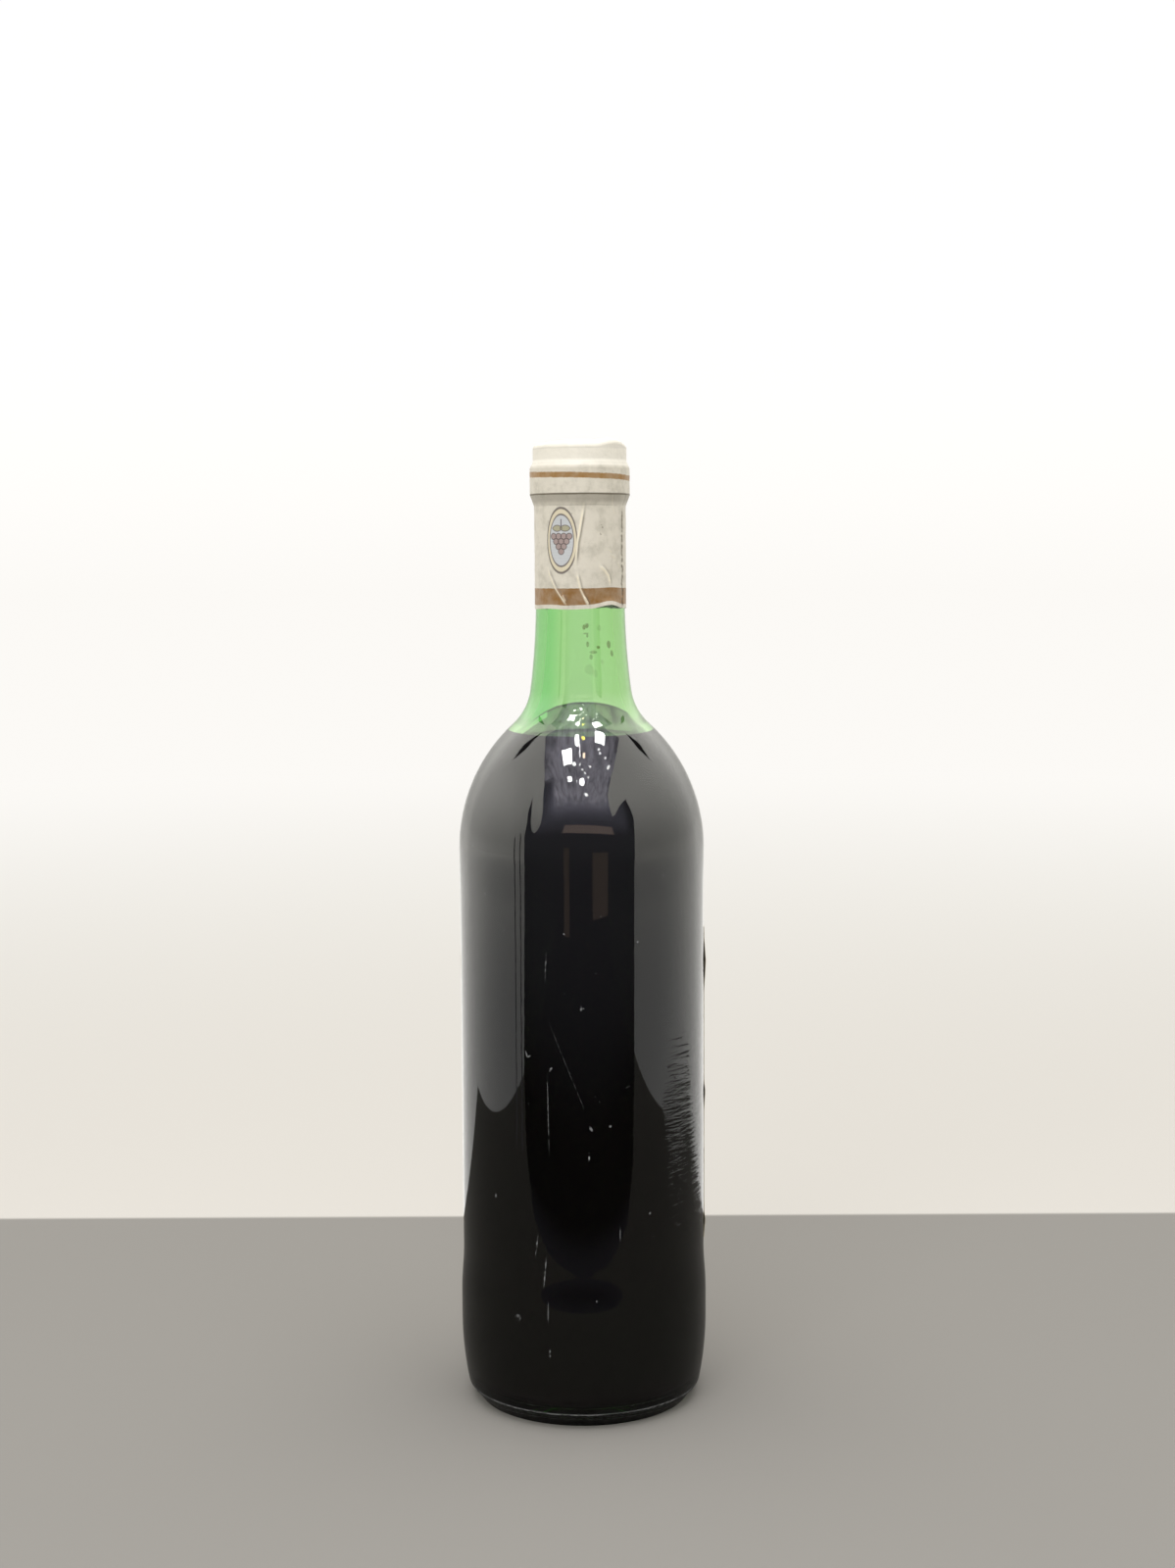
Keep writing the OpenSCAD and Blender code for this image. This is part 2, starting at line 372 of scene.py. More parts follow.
def wornShare(w, where, z, along):                 # scuffs, dust and the ring of wear above the foot
    sheet = w.node("ShaderNodeCombineXYZ", {}, {0: along, 1: z})
    worn = noiseOf(w, where, 700, 2).fade(0.35, 0.6)
    scuffed = 0
    for turnOf, height, wide, tall, lean, strength in scuffs:
        spot = near(w, sheet, math.radians(turnOf) * panelR, height, wide, tall, lean)
        scuffed = spot.fade(1.0, 0.6) * strength + scuffed
    dust = noiseOf(w, where, 1500, 1).fade(0.78, 0.82) * noiseOf(w, where, 90, 2).fade(0.45, 0.65) * 0.35
    ring = (z - glass["wearAt"] + (worn - 0.5) * 0.2).size().fade(0.35, 0.1) * worn.fade(0, 1, 0.12, 0.4)
    return (scuffed * worn + dust + ring).least(0.9)


def glassMaterial():
    made, w = newMaterial("greenGlass")
    where, x, y, z, turn = places(w)
    along = turn * panelR
    inward = w.node("ShaderNodeAttribute", {"attribute_name": "inward"}, out=2)
    rough = noiseOf(w, where, 160, 4, 0.6) - 0.5
    tint = tideMark(w, where, x, y, z, inward, rough)
    drops = driedDrops(w, z, turn, rough)
    tint = (drops * inward * y.fade(0, -1)).least(0.9).mix(tint, tide["drop"])

    drawn = noiseOf(w, where, 60, 2, stretch=(1, 1, 0.15))
    ripples = noiseOf(w, where, 120, 3, stretch=(1, 1, 7)) - 0.5
    glueZone = along.fade(25, 31) * along.fade(54, 48) * z.fade(48, 58) * z.fade(128, 112)
    height = drawn * 0.00004 + ripples * glueZone * 0.00016
    bump = w.node("ShaderNodeBump", {}, {"Strength": 1.0, "Distance": 1.0, "Height": height})
    clear = w.node("ShaderNodeBsdfPrincipled", {}, {
        "Base Color": tint, "Roughness": 0.0, "IOR": 1.52, "Transmission Weight": 1.0, "Normal": bump})
    dull = w.node("ShaderNodeBsdfPrincipled", {}, {"Base Color": glass["wear"], "Roughness": 0.6})
    share = wornShare(w, where, z, along) * (1 - inward)
    surface = w.node("ShaderNodeMixShader", {}, {0: share, 1: clear, 2: dull})
    absorb = w.node("ShaderNodeVolumeAbsorption", {}, {"Color": glass["absorb"], "Density": glass["density"]})
    endMaterial(w, surface, absorb)
    return made


# the wine, a little into the glass so that no air shows between them
wine = {
    "level": 205.3, "into": 0.12,
    "climb": 0.5, "climbReach": 1.2,               # how the surface climbs at the glass
    "rings": 36, "segments": 160,
    # the top is coloured lighter than the body: painted light on the wine's surface
    "body": (0.006, 0.0016, 0.004, 1), "top": (0.02, 0.004, 0.006, 1),
}


def makeWine():
    side = innerLine(-wine["into"])
    brim = wine["level"] + wine["climb"]
    brimR = radiusAt(side, brim)
    radii = [brimR * (1 - (i / wine["rings"]) ** 1.6) for i in range(wine["rings"] + 1)]
    top = [(r, wine["level"] + wine["climb"] * math.exp((r - brimR) / wine["climbReach"])) for r in radii]
    piece = lathe("wineFill", [p for p in side if p[1] < brim] + top, wine["segments"])
    for face in piece.data.polygons:
        face.material_index = int(face.normal.z > 0.2 and face.center.z > (wine["level"] - 1) * mm)
    return piece


def wineMaterial(name, ior, shade):
    made, w = newMaterial(name)
    where = w.node("ShaderNodeTexCoord", out=3)
    cloud = noiseOf(w, where, 30, 2)
    tone = cloud.fade(0.3, 0.7).mix(shade, tuple(c * 0.75 for c in shade[:3]) + (1,))
    body = w.node("ShaderNodeBsdfPrincipled", {}, {"Base Color": tone, "Roughness": 0.04, "IOR": ior})
    endMaterial(w, body)
    return made


# the foil capsule, shaped over the finish, then crumpled
foil = {
    "gap": 0.05, "thickness": 0.25, "length": 49, "crown": 1.4, "segments": 320,
    "topRound": 1.4, "rows": 0.3,
    "cream": rgb(220, 214, 200), "grey": rgb(176, 171, 156), "dirt": rgb(120, 108, 90),
    "band": rgb(148, 110, 56), "lowBand": rgb(136, 97, 44),
    "foldShadow": rgb(110, 104, 88), "shade": rgb(96, 88, 72), "topHighlight": rgb(250, 246, 234),
    "creaseLit": rgb(250, 240, 215), "creaseShadow": rgb(88, 78, 62),
    "upperBand": {"z": 283.6, "tall": 1.6, "tilt": 0.03}, "lowerBand": {"z": 247.7, "tall": 4.9},
    "liftAt": 40, "liftWide": 28, "lift": 1.3, "liftOut": 0.5, "liftTall": 9, "sway": 0.12,    # lower edge
    "bumpAt": 50, "bumpWide": 34, "bumpRise": 1.15, "topUneven": 0.12,
    "seam": 67, "seamRise": 0.22, "seamShade": 2.2,
}

# creases in the foil: (turn in degrees, height in mm) along each, its width, rise, and the strength of its
# painted highlight and shadow
creases = [
    {"path": [(5.8, 274.9), (-0.4, 266.2), (-2.5, 263.9), (-5, 257.5)],
     "width": 0.4, "rise": 0.36, "lit": 1.7},
    {"path": [(-43, 256.0), (-32, 250.6), (-16.3, 245.3)], "width": 0.4, "rise": 0.4, "lit": 1.5},
    {"path": [(-22, 248.4), (-17, 246.4)], "width": 0.32, "rise": 0.4, "lit": 1.6},
    {"path": [(-3, 254.5), (1.2, 250), (11.2, 244.6)], "width": 0.4, "rise": 0.4, "lit": 1.4},
    {"path": [(5.8, 247.6), (11, 245.4)], "width": 0.32, "rise": 0.4, "lit": 1.6},
    {"path": [(26, 256.8), (32, 255.7), (38.4, 253.9), (41.2, 251)],
     "width": 0.5, "rise": 0.36, "lit": 1.6},
    {"path": [(42, 277.2), (50, 272)], "width": 0.4, "rise": 0.12, "lit": 0.3},
    {"path": [(38, 261.7), (44, 261.0)], "width": 0.3, "rise": 0.14, "lit": 0.5},
    {"path": [(42, 260.1), (51, 259.2)], "width": 0.3, "rise": 0.14, "lit": 0.5},
    {"path": [(55, 257.7), (62, 256.0)], "width": 0.3, "rise": 0.14, "lit": 0.5},
]
foilR = glass["neckR"] + foil["gap"] + foil["thickness"]


# distance to a crease, the offset to its right, and the share of its length passed
def awayFrom(path, along, z):
    best = (1e9, 0, 0)
    for i, ((turnA, zA), (turnB, zB)) in enumerate(zip(path, path[1:])):
        aX, bX = math.radians(turnA) * foilR, math.radians(turnB) * foilR
        dX, dZ = bX - aX, zB - zA
        share = min(1, max(0, ((along - aX) * dX + (z - zA) * dZ) / (dX * dX + dZ * dZ)))
        offX, offZ = along - aX - share * dX, z - zA - share * dZ
        best = min(best, (math.hypot(offX, offZ), offX, (i + share) / (len(path) - 1)))
    return best


def soften(value, low, high):
    t = min(1, max(0, (value - low) / (high - low)))
    return t * t * (3 - 2 * t)


def hill(value, middle, half):
    return soften(half - abs(value - middle), 0, half)


def foilOutline():
    gap, skin = foil["gap"], foil["gap"] + foil["thickness"]
    low = glass["height"] - foil["length"]
    neckIn = shoulderLine(gap, glass["neckR"] + gap)
    neckOut = shoulderLine(skin, glass["neckR"] + skin)
    inner = [(radiusAt(neckIn, low), low)] + [p for p in neckIn if p[1] > low + 0.5] + finishLine(gap)
    outer = ([(radiusAt(neckOut, low), low)] + [p for p in neckOut if p[1] > low + 0.5]
             + finishLine(skin, foil["topRound"]))
    rim = outer[-1]
    crownR = (rim[0] ** 2 + foil["crown"] ** 2) / (2 * foil["crown"])
    reach = math.degrees(math.asin(rim[0] / crownR))
    top = arc((0, rim[1] + foil["crown"] - crownR), crownR, 90 - reach, 90, 24)
    fine = []
    for before, after in zip(outer, outer[1:]):
        fine += line(before, after, max(1, round(math.dist(before, after) / foil["rows"])))[:-1]
    under = [(r * 0.98, z - foil["thickness"]) for r, z in top]
    return under[::-1] + inner[::-1] + fine + top


def unroll(mesh):                  # metres along the foil and up it, before it creases
    flat = mesh.uv_layers.new(name="unrolled")
    for face in mesh.polygons:
        middle = math.atan2(face.center.x, -face.center.y)
        for corner in face.loop_indices:
            spot = mesh.vertices[mesh.loops[corner].vertex_index].co
            turn = math.atan2(spot.x, -spot.y)
            turn += math.tau * round((middle - turn) / math.tau)
            flat.data[corner].uv = (turn * foilR * mm, spot.z)


def creased(along, z):             # how far the creases stand out at a spot, and how they catch the light
    out, shine = 0, 0
    for crease in creases:
        width = crease["width"]
        distance, side, part = awayFrom(crease["path"], along, z)
        if distance < 3 * width:
            ends = soften(min(part, 1 - part), 0, 0.15) * 0.8 + 0.2
            fall = (distance / width / 1.5) ** 2
            out += crease["rise"] * ends * math.exp(-(distance / width) ** 2)
            shine += crease["lit"] * ends * math.exp(-((side + 0.15) / width) ** 2 - fall)
            shine -= crease["lit"] * ends * math.exp(-((side - 0.4) / width) ** 2 - fall)
    return out, shine


def crumple(x, y, z):              # move out and up, and light, at one spot of the foil
    low = glass["height"] - foil["length"]
    r = math.hypot(x, y)
    turn = math.degrees(math.atan2(x, -y))
    along = math.radians(turn) * foilR
    ridge = hill(turn, foil["liftAt"], foil["liftWide"])
    share = 1 - soften(z, low, low + foil["liftTall"])
    up = foil["lift"] * ridge * share + foil["sway"] * math.sin(turn * 0.11) * share
    out, shine = foil["liftOut"] * ridge * (1 - soften(z, low, low + 3)), 0
    if z < ringBottom and r > glass["neckR"] + 0.2:
        rise, shine = creased(along, z)
        lap = foil["seam"] + 2.5 * noise.noise((z * 0.3, 3, 1)) + 1.5 * noise.noise((z * 1.1, 3, 5))
        overlap = soften(turn, lap - 1, lap + 1) * (1 - soften(turn, lap + 9, lap + 30))
        out += rise + foil["seamRise"] * overlap
        # painted shade along the seam's overlapping edge
        shine -= (foil["seamShade"] * hill(turn, lap - 1.4, 2.6) * (1 - soften(z, 272, 274.5))
                  * (0.5 + noise.noise((z, 7, 2))))
        out += 0.06 * noise.noise((along * 0.35, z * 0.35, 2)) + 0.03 * noise.noise((along, z, 4))
    elif z > ringBottom and r > glass["boreR"] + 1.5:
        out += 0.05 * noise.noise((along * 0.3, z * 0.4, 8)) + 0.04 * noise.noise((along * 0.8, z, 6))
    if z > glass["height"] - 1.2:
        up += foil["bumpRise"] * hill(turn, foil["bumpAt"], foil["bumpWide"]) * soften(r, 5.5, 10.5)
        up += foil["topUneven"] * noise.noise((x * 0.35, y * 0.35, 1))
    return out, up, shine


def makeCapsule():
    piece = lathe("foilCapsule", foilOutline(), foil["segments"])
    unroll(piece.data)
    lit = piece.data.attributes.new("lit", "FLOAT", "POINT")
    for vertex in piece.data.vertices:
        x, y, z = (c / mm for c in vertex.co)
        r = math.hypot(x, y)
        if r > 0.1:                                # all but the crown's middle
            out, up, lit.data[vertex.index].value = crumple(x, y, z)
            vertex.co.x += out * mm * x / r
            vertex.co.y += out * mm * y / r
            vertex.co.z += up * mm
    return piece


def foilMaterial():
    made, w = newMaterial("creamFoil")
    where = w.node("ShaderNodeTexCoord", out=3)
    along, z = unrolled(w, "unrolled")
    mottle = noiseOf(w, where, 220, 5, 0.65)
    blotch = noiseOf(w, where, 90, 3, 0.5)
    tone = (mottle.fade(0.42, 0.72) * 0.55 + blotch.fade(0.5, 0.75) * 0.3).mix(foil["cream"], foil["grey"])
    dirt = noiseOf(w, where, 700, 2).fade(0.7, 0.76) * noiseOf(w, where, 130, 2).fade(0.5, 0.6)
    tone = (dirt * 0.7).mix(tone, foil["dirt"])
    rub = noiseOf(w, where, 150, 2) - 0.5
    fine = noiseOf(w, where, 900, 2) - 0.5
    ragged = rub * 0.5 + fine * 0.35

    upper, lower = foil["upperBand"], foil["lowerBand"]
    fromUpper = (z - upper["z"] + along * upper["tilt"] + ragged).size()
    fromLower = (z - lower["z"] + ragged * 0.7).size()
    band = fromUpper.fade(upper["tall"] / 2 + 0.06, upper["tall"] / 2 - 0.06).most(
        fromLower.fade(lower["tall"] / 2 + 0.06, lower["tall"] / 2 - 0.06))
    worn = noiseOf(w, where, 260, 4, 0.6).fade(0.35, 0.7, 0.82, 1.0)
    tone = (band * worn).mix(tone, z.fade(270, 256).mix(foil["band"], foil["lowBand"]))
    tone, ink = medallion(w, along, z, tone, fine)

    # painted shadow lines under the crown's rim and along a crease low on the front, painted shade under the
    # ring, and a painted highlight on the slope above it
    height = glass["height"]
    # painted shadow: a dark line under the crown's rim, and a faint one along a crease on the front
    edge = (z - height + 1.2 + rub * 0.5).size().fade(0.35, 0.05) * z.fade(height, height - 1)
    faint = (z - 274.9 + rub * 0.4).size().fade(0.3, 0.0) * along.size().fade(14, 8)
    tone = (edge * 0.45 + faint * 0.25).mix(tone, foil["foldShadow"])
    # painted shade on the slope under the ring, and a painted shadow line where the ring meets it
    under = (z.fade(ringBottom - glass["ringUnder"] - 0.4, ringBottom - 1.5)
             * z.fade(ringBottom + 0.25, ringBottom))
    tuckShadow = (z - ringBottom + rub * 0.3).size().fade(0.45, 0.1)
    tone = (under * 0.38 + tuckShadow * 0.6).mix(tone, foil["shade"])
    # painted highlight: full on the slope above the ring, weaker on the lip and crown, as if lit from above
    slopeLight = z.fade(height - 5.6, height - 5.0) * z.fade(height - 4.0, height - 4.6)
    tone = (z.fade(ringTop + 0.5, ringTop + 1.0) * slopeLight.most(0.6)).mix(tone, foil["topHighlight"])
    # painted highlights and shadows of the creases and the seam, from the lit attribute
    shine = w.node("ShaderNodeAttribute", {"attribute_name": "lit"}, out=2)
    tone = (shine.most(0) * 0.8).least(0.9).mix(tone, foil["creaseLit"])
    tone = ((0 - shine).most(0) * 0.75).least(0.8).mix(tone, foil["creaseShadow"])

    dents = noiseOf(w, where, 260, 3, 0.6)
    grain = noiseOf(w, where, 1600, 2)
    relief = dents * 0.00013 + grain * 0.00002 - ink * 0.00001
    bump = w.node("ShaderNodeBump", {}, {"Strength": 0.9, "Distance": 1.0, "Height": relief})
    body = w.node("ShaderNodeBsdfPrincipled", {}, {
        "Base Color": tone, "Roughness": band.fade(0, 1, 0.5, 0.36), "Specular IOR Level": 0.25,
        "Normal": bump})
    endMaterial(w, body)
    return made


# an oval seal with a bunch of grapes, printed on the foil
seal = {
    "turn": -24, "z": 264.4, "wide": 4.9, "tall": 9.6, "line": 0.3, "inner": 0.8,
    "grapeR": 0.92, "bunch": (4, 3, 2, 1), "bunchTop": 1.2,
    "ink": rgb(84, 74, 74), "sky": rgb(200, 203, 206), "field": rgb(218, 208, 182),
    "grape": rgb(164, 146, 142), "leaf": rgb(170, 166, 140),
}


def medallion(w, along, z, tone, fine):
    u = along - math.radians(seal["turn"]) * foilR
    v = z - seal["z"]
    spot = w.node("ShaderNodeCombineXYZ", {}, {0: u, 1: v})

    def away(x, y, r):
        return w.node("ShaderNodeVectorMath", {"operation": "DISTANCE"}, {0: spot, 1: (x, y, 0)}, out=1) - r

    def oval(share):
        wide, tall = seal["wide"] * share, seal["tall"] * share
        flat = w.node("ShaderNodeCombineXYZ", {}, {0: u / wide, 1: v / tall})
        length = w.node("ShaderNodeVectorMath", {"operation": "LENGTH"}, {0: flat}, out=1)
        return (length - 1) * wide

    def inkLine(distance, width=seal["line"]):
        return (distance + fine * 0.1).size().fade(width / 2 + 0.12, width / 2 - 0.06)

    outer, inner = oval(1), oval(seal["inner"])
    tone = outer.fade(0.05, -0.05).mix(tone, seal["field"])
    tone = inner.fade(0.05, -0.05).mix(tone, seal["sky"])
    rows = (v * 2.2).math("FRACT", v * 2.2)
    tone = (inner.fade(0.05, -0.05) * (rows - 0.5).size().fade(0.1, 0.0) * 0.35).mix(tone, seal["ink"])
    ink = inkLine(outer).most(inkLine(inner, 0.2))
    step = 2 * seal["grapeR"] * 0.92
    for row, count in enumerate(seal["bunch"]):
        for i in range(count):
            ball = away((i - (count - 1) / 2) * step, seal["bunchTop"] - row * step * 0.88, seal["grapeR"])
            tone = ball.fade(0.04, -0.04).mix(tone, seal["grape"])
            ink = ink.most(inkLine(ball, 0.18))
    for side in (-1, 1):
        leaf = away(side * 1.3, 2.6, 1.9).most(away(side * 1.3, 4.6, 1.9))
        tone = leaf.fade(0.04, -0.04).mix(tone, seal["leaf"])
        ink = ink.most(inkLine(leaf, 0.18))
    stalk = (u.size() - 0.16).most((v - 5).size() - 1.3)
    ink = ink.most(stalk.fade(0.08, -0.04))
    return (ink * 0.85).mix(tone, seal["ink"]), ink


# the paper label round the far side
paper = {
    "width": 115, "height": 98, "low": 48, "middle": 87.5, "gap": 0.03, "thickness": 0.15,
    "across": 240, "up": 200,                      # squares in the sheet
    "border": 4.0, "line": 1.2,
    "fresh": rgb(233, 226, 205), "fibre": rgb(216, 207, 183), "aged": rgb(196, 178, 138),
    "peels": [(135, 10, 0.5), (94, 5, 0.35), (53.5, 4, 0.4)],      # loose edges: height, half length, lift
}


def makeLabel():
    calm()
    bpy.ops.mesh.primitive_grid_add(x_subdivisions=paper["across"], y_subdivisions=paper["up"], size=1)
    piece = bpy.context.object
    piece.name = piece.data.name = "paperLabel"
    start = math.radians(paper["middle"]) - paper["width"] / panelR / 2
    flat = piece.data.uv_layers.new(name="sheet")
    for corner in piece.data.loops:
        spot = piece.data.vertices[corner.vertex_index].co
        flat.data[corner.index].uv = (
            (spot.x + 0.5) * paper["width"] * mm, (spot.y + 0.5) * paper["height"] * mm)
    for vertex in piece.data.vertices:
        along = (vertex.co.x + 0.5) * paper["width"]
        z = paper["low"] + (vertex.co.y + 0.5) * paper["height"]
        fromEdge = min(along, paper["width"] - along)
        lift = sum(rise * hill(z, middle, half) for middle, half, rise in paper["peels"])
        lift *= (1 - soften(fromEdge, 0, 3.5)) * (1 if along < 20 else 0.4)
        lift += 0.05 * (1 + noise.noise((along * 0.12, z * 0.12, 3)))
        lift += 0.1 * max(0, noise.noise((along * 0.05, z * 0.35, 7)))
        r = panelR + paper["gap"] + lift
        angle = start + along / panelR
        vertex.co = (r * math.cos(angle) * mm, r * math.sin(angle) * mm, z * mm)
    calm()
    piece.select_set(True)
    bpy.context.view_layer.objects.active = piece
    thicken = piece.modifiers.new("thicken", "SOLIDIFY")
    thicken.thickness = paper["thickness"] * mm
    thicken.offset = 1
    bpy.ops.object.modifier_apply(modifier="thicken")
    return piece


def paperMaterial():
    made, w = newMaterial("labelPaper")
    where = w.node("ShaderNodeTexCoord", out=3)
    u, v = unrolled(w, "sheet")
    fibres = noiseOf(w, where, 500, 4, 0.6)
    age = noiseOf(w, where, 25, 4, 0.6)
    tone = fibres.fade(0.3, 0.8).mix(paper["fresh"], paper["fibre"])
    fromEdge = u.least(paper["width"] - u).least(v).least(paper["height"] - v)
    tone = (age.fade(0.45, 0.8) * 0.5 + fromEdge.fade(5, 0) * 0.3).mix(tone, paper["aged"])
    border = (fromEdge - paper["border"] + (fibres - 0.5) * 0.3).size()
    hair = (fromEdge - paper["border"] - 2 + (fibres - 0.5) * 0.2).size()
    frameLines = border.fade(paper["line"] / 2 + 0.06, paper["line"] / 2 - 0.06).most(hair.fade(0.2, 0.08))
    tone = (frameLines * fibres.fade(0.2, 0.5, 0.75, 1.0)).mix(tone, foil["band"])
    bump = w.node("ShaderNodeBump", {}, {"Strength": 0.4, "Distance": 1.0, "Height": fibres * 0.0001})
    body = w.node("ShaderNodeBsdfPrincipled", {}, {"Base Color": tone, "Roughness": 0.85, "Normal": bump})
    endMaterial(w, body)
    return made


shell = makeGlass()
smooth(shell)
dress(shell, glassMaterial())
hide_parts("bottle")
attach(shell, "root")
print("glass made", len(shell.data.polygons))

fill = makeWine()
smooth(fill, 50)
dress(fill, wineMaterial("wineBody", 1.13, wine["body"]), wineMaterial("wineTop", 1.34, wine["top"]))
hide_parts("wine")
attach(fill, "root")
print("wine made", len(fill.data.polygons))

capsule = makeCapsule()
smooth(capsule, 40)
dress(capsule, foilMaterial())
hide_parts("capsule")
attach(capsule, "root")
print("capsule made", len(capsule.data.polygons))

label = makeLabel()
smooth(label, 40)
dress(label, paperMaterial())
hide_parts("label")
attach(label, "root")
print("label made", len(label.data.polygons))


# the stage: a table on a pale floor in a white tent, where "gloss" and "glow" are what the bottle mirrors
stage = {
    "tableBack": 0.185, "tableSide": 0.41, "edge": 0.004,
    "table": rgb(161, 158, 154), "tableGloss": 0.42, "mirroredFloor": (0.2, 0.19, 0.18, 1),
    "near": (0.78, 0.75, 0.71, 1), "far": (0.97, 0.955, 0.91, 1),
    "haze": (0.2, 2.1),                            # where the floor starts and ends turning into the horizon
    "glowFront": (0.80, 0.805, 0.82, 1), "glowBack": (1.25, 1.24, 1.2, 1),
    "glowFar": (2.357, 2.315, 2.19, 1), "glowReach": (0.5, 1.8),
    "horizon": (0.92, 0.89, 0.845, 1), "above": (1.03, 1.02, 1.0, 1), "horizonShare": 0.48,
    "wall": (0.956, 0.939, 0.888, 1), "wallSoft": 0.72,
    "wallGloss": 1.6, "wallRise": 1.1, "wallLeft": 0.3, "wallBehind": 0.52,
}
black = (0, 0, 0, 1)


def rays(w):                       # 1 for a ray from the camera, a diffuse one and a mirrored one
    seen, soft, glossy, through = (w.node("ShaderNodeLightPath", out=i) for i in (0, 2, 3, 6))
    return seen, soft, glossy * (1 - through)


def outward(side, behind):         # how the tent's gloss changes round the bottle
    return ((1 + (0 - side).fade(0.75, 1.0) * stage["wallLeft"])
            * behind.fade(0.7, 0.97, 1, stage["wallBehind"]))


def makeFloor():
    calm()
    bpy.ops.mesh.primitive_plane_add(size=40)
    floor = bpy.context.object
    floor.name = "floor"
    made, w = newMaterial("paleFloor")
    where = w.node("ShaderNodeTexCoord", out=3)
    x, y = (where.part(i) for i in range(2))
    mirrored = rays(w)[2]
    onTable = (x.size().fade(stage["tableSide"] + stage["edge"], stage["tableSide"])
               * y.fade(stage["tableBack"] + stage["edge"], stage["tableBack"]))
    away = w.node("ShaderNodeVectorMath", {"operation": "LENGTH"}, {0: where}, out=1)
    far = away.fade(*stage["haze"])
    level = tuple(a + (b - a) * stage["horizonShare"] for a, b in zip(stage["horizon"], stage["above"]))
    distant = (outward(x / away, y / away) * 0.7).mix(black, stage["glowFar"])
    close = y.fade(-0.3, 0.5).mix(stage["glowFront"], stage["glowBack"])
    lit = away.fade(*stage["glowReach"]).mix(close, distant)
    glow = (mirrored * (1 - onTable)).mix(far.mix(black, level), lit)
    beyond = mirrored.mix(y.fade(0.15, 1.6).mix(stage["near"], stage["far"]), stage["mirroredFloor"])
    dim = tuple(c * stage["tableGloss"] for c in stage["table"][:3]) + (1,)
    tone = onTable.mix(beyond, mirrored.mix(stage["table"], dim))
    body = w.node("ShaderNodeBsdfPrincipled", {}, {
        "Base Color": far.mix(tone, black), "Roughness": 0.5, "Specular IOR Level": 0.0,
        "Emission Color": glow, "Emission Strength": 1.0})
    endMaterial(w, body)
    dress(floor, made)


def makeWorld():
    world = bpy.data.worlds.new("room")
    world.use_nodes = True
    world.node_tree.nodes.clear()
    w = Wire(world.node_tree)
    seen, soft, mirrored = rays(w)
    towards = w.node("ShaderNodeTexCoord")
    side, behind, up = (towards.part(i) for i in range(3))
    gloss = (stage["wallGloss"] * (1 + up.fade(-0.05, 0.65) * stage["wallRise"])
             * outward(side, behind))
    strength = 1 + mirrored * (gloss - 1) - soft * (1 - stage["wallSoft"])
    tone = seen.mix(stage["wall"], up.fade(-0.12, 0.1).mix(stage["horizon"], stage["above"]))
    back = w.node("ShaderNodeBackground", {}, {"Color": strength.brighten(tone), "Strength": 1.0})
    out = world.node_tree.nodes.new("ShaderNodeOutputWorld")
    world.node_tree.links.new(back.socket, out.inputs["Surface"])
    bpy.context.scene.world = world


# outlines of the dark room in front of the tent, and of the tent's roof, in metres
roomEdge = [
    (-0.007, 0.012), (-0.084, 0.012), (-0.140, 0.015), (-0.180, 0.032), (-0.193, 0.057), (-0.187, 0.097),
    (-0.178, 0.144), (-0.178, 0.180), (-0.182, 0.212), (-0.176, 0.240), (-0.184, 0.262), (-0.186, 0.318),
    (-0.166, 0.275), (-0.157, 0.240), (-0.146, 0.218), (-0.129, 0.208), (-0.116, 0.217), (-0.108, 0.230),
    (-0.110, 0.262), (-0.139, 0.349), (-0.178, 0.430), (0.150, 0.430), (0.108, 0.356), (0.077, 0.294),
    (0.074, 0.262), (0.079, 0.238), (0.095, 0.250), (0.112, 0.269), (0.131, 0.283), (0.151, 0.300),
    (0.159, 0.285), (0.171, 0.254), (0.162, 0.210), (0.156, 0.187), (0.152, 0.102), (0.151, 0.065),
    (0.142, 0.035), (0.115, 0.017), (0.060, 0.012),
]
roofEdge = [
    (-0.58, 0.10), (-0.60, -0.10), (-0.76, -0.575), (-0.88, -0.84), (-1.41, -1.68), (-1.70, -2.4),
    (1.30, -2.4), (0.95, -1.69), (0.72, -1.24), (0.655, -0.81), (0.63, -0.36), (0.62, -0.05), (0.62, 0.10),
]


def oblong(x, y, wide, tall):
    return [(x - wide / 2, y - tall / 2), (x + wide / 2, y - tall / 2), (x + wide / 2, y + tall / 2),
            (x - wide / 2, y + tall / 2)]


def lens(x, y, wide, tall):
    turns = [math.tau * i / 12 for i in range(12)]
    return [(x + wide / 2 * math.cos(turn), y + tall / 2 * math.sin(turn)) for turn in turns]


violet, white, warm, brown = (0.9, 0.86, 1.0), (1, 1, 1), (1, 0.8, 0.6), (1.0, 0.78, 0.72)
shadow, yellow = (0.8, 0.78, 1.0), (1, 0.85, 0.15)
roomDepth, detailDepth = -0.15, -0.149
roofHeight, lampHeight = 1.25, 1.2

